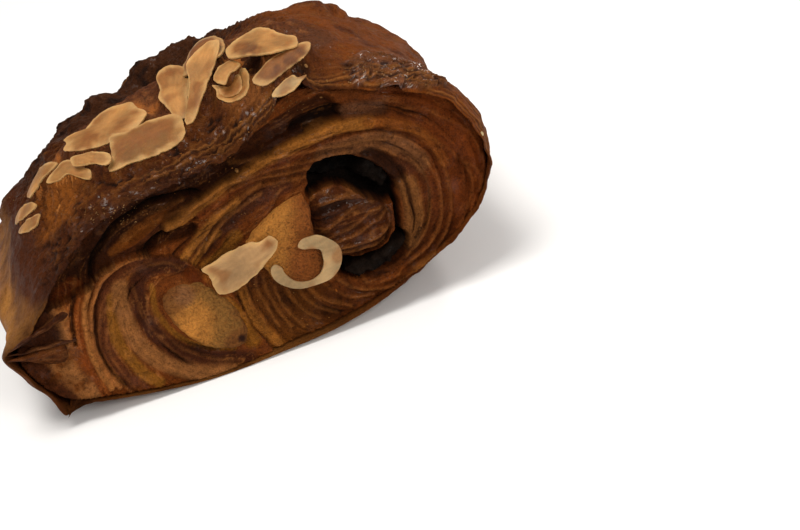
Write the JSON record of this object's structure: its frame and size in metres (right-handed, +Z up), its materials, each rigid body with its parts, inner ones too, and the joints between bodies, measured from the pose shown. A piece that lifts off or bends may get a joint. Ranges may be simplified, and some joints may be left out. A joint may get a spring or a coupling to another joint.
{
  "type": "almond pain au chocolat",
  "caption": "Rolled laminated pastry with layered open ends, chocolate and almond cream inside, and flaked almonds on its crown.",
  "frame": {"origin": "under the middle of the whole pastry's box, on the level that its base rests on", "axes": "+Z up; +X across the two lobes towards the larger one that holds the chocolate; -Y towards the end whose coil of layers faces out"},
  "size_m": [0.1196, 0.079, 0.0656],
  "materials": {
    "baked_dough": "dark baked laminated dough with a thin caramel glaze, roughness about 0.5",
    "chocolate": "baked dark chocolate, dull with a few glossy specks",
    "almond_cream": "baked almond cream, matt and porous",
    "flaked_almond": "toasted flaked almond, satin"
  },
  "bodies": {
    "root": {"pastry": "baked_dough", "chocolate": "chocolate", "almond_cream_centre": "almond_cream", "almond_cream_left": "almond_cream", "almond_cream_top": "almond_cream", "flake_01": "flaked_almond", "flake_02": "flaked_almond", "flake_03": "flaked_almond", "flake_04": "flaked_almond", "flake_05": "flaked_almond", "flake_06": "flaked_almond", "flake_07": "flaked_almond", "flake_08": "flaked_almond", "flake_09": "flaked_almond", "flake_10": "flaked_almond", "flake_11": "flaked_almond", "flake_12": "flaked_almond", "flake_13": "flaked_almond", "flake_14": "flaked_almond", "flake_15": "flaked_almond", "flake_16": "flaked_almond", "flake_hook": "flaked_almond"}
  },
  "joints": []
}
